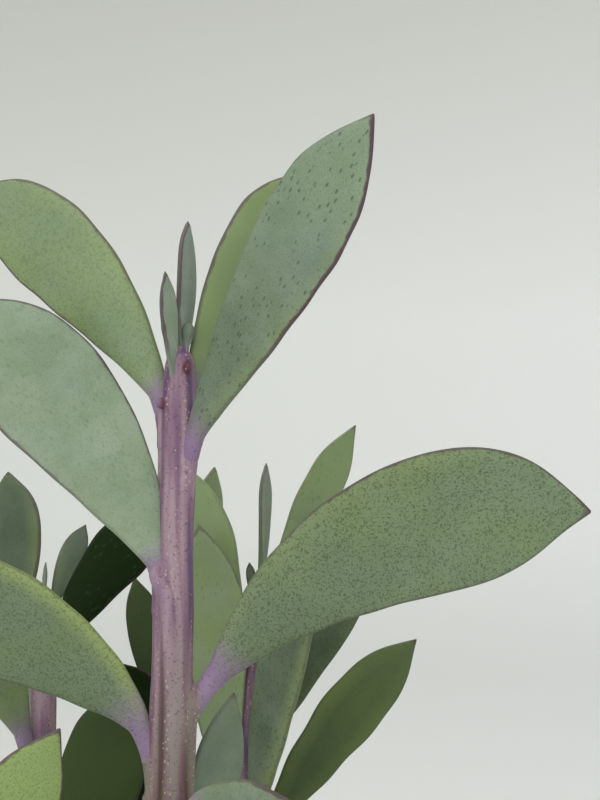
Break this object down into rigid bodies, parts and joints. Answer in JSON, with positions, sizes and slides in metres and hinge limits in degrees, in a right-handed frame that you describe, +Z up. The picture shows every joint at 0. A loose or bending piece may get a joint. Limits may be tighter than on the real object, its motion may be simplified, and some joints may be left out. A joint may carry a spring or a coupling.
{
  "type": "potted vertical leaf senecio",
  "caption": "Upright branching succulent with flat blue-green leaves set on edge, purple leaf margins and stems, growing from soil in a plain tapered clay pot.",
  "frame": {"origin": "middle of the pot's flat base, on the surface that it stands on", "axes": "+Z up along the pot's axis and the main stem, +X to the right and +Y away from the viewer in the reference view"},
  "size_m": [0.1664, 0.1785, 0.3334],
  "materials": {
    "pot": "unglazed terracotta, matte",
    "soil": "gritty potting mix, matte",
    "stem": "waxy purple-pink skin with pale specks, satin",
    "leaf": "matte wax bloom over grey-green, thin maroon edge"
  },
  "bodies": {
    "root": {"leaf_far_back_1": "leaf", "leaf_far_back_2": "leaf", "leaf_far_back_3": "leaf", "leaf_far_back_4": "leaf", "leaf_far_back_5": "leaf", "leaf_far_back_6": "leaf", "leaf_front_left_1": "leaf", "leaf_front_left_2": "leaf", "leaf_front_left_3": "leaf", "leaf_front_left_4": "leaf", "leaf_front_left_5": "leaf", "leaf_front_left_6": "leaf", "leaf_front_left_7": "leaf", "leaf_front_right_1": "leaf", "leaf_front_right_2": "leaf", "leaf_front_right_3": "leaf", "leaf_front_right_4": "leaf", "leaf_front_right_5": "leaf", "leaf_front_right_6": "leaf", "leaf_front_right_7": "leaf", "leaf_left_back_1": "leaf", "leaf_left_back_2": "leaf", "leaf_left_back_3": "leaf", "leaf_left_back_4": "leaf", "leaf_left_back_5": "leaf", "leaf_left_back_6": "leaf", "leaf_left_back_7": "leaf", "leaf_left_back_8": "leaf", "leaf_main_1": "leaf", "leaf_main_10": "leaf", "leaf_main_11": "leaf", "leaf_main_12": "leaf", "leaf_main_13": "leaf", "leaf_main_14": "leaf", "leaf_main_2": "leaf", "leaf_main_3": "leaf", "leaf_main_4": "leaf", "leaf_main_5": "leaf", "leaf_main_6": "leaf", "leaf_main_7": "leaf", "leaf_main_8": "leaf", "leaf_main_9": "leaf", "leaf_right_back_1": "leaf", "leaf_right_back_10": "leaf", "leaf_right_back_2": "leaf", "leaf_right_back_3": "leaf", "leaf_right_back_4": "leaf", "leaf_right_back_5": "leaf", "leaf_right_back_6": "leaf", "leaf_right_back_7": "leaf", "leaf_right_back_8": "leaf", "leaf_right_back_9": "leaf", "pot": "pot", "soil": "soil", "stem_far_back": "stem", "stem_front_left": "stem", "stem_front_right": "stem", "stem_left_back": "stem", "stem_main": "stem", "stem_right_back": "stem"}
  },
  "joints": []
}
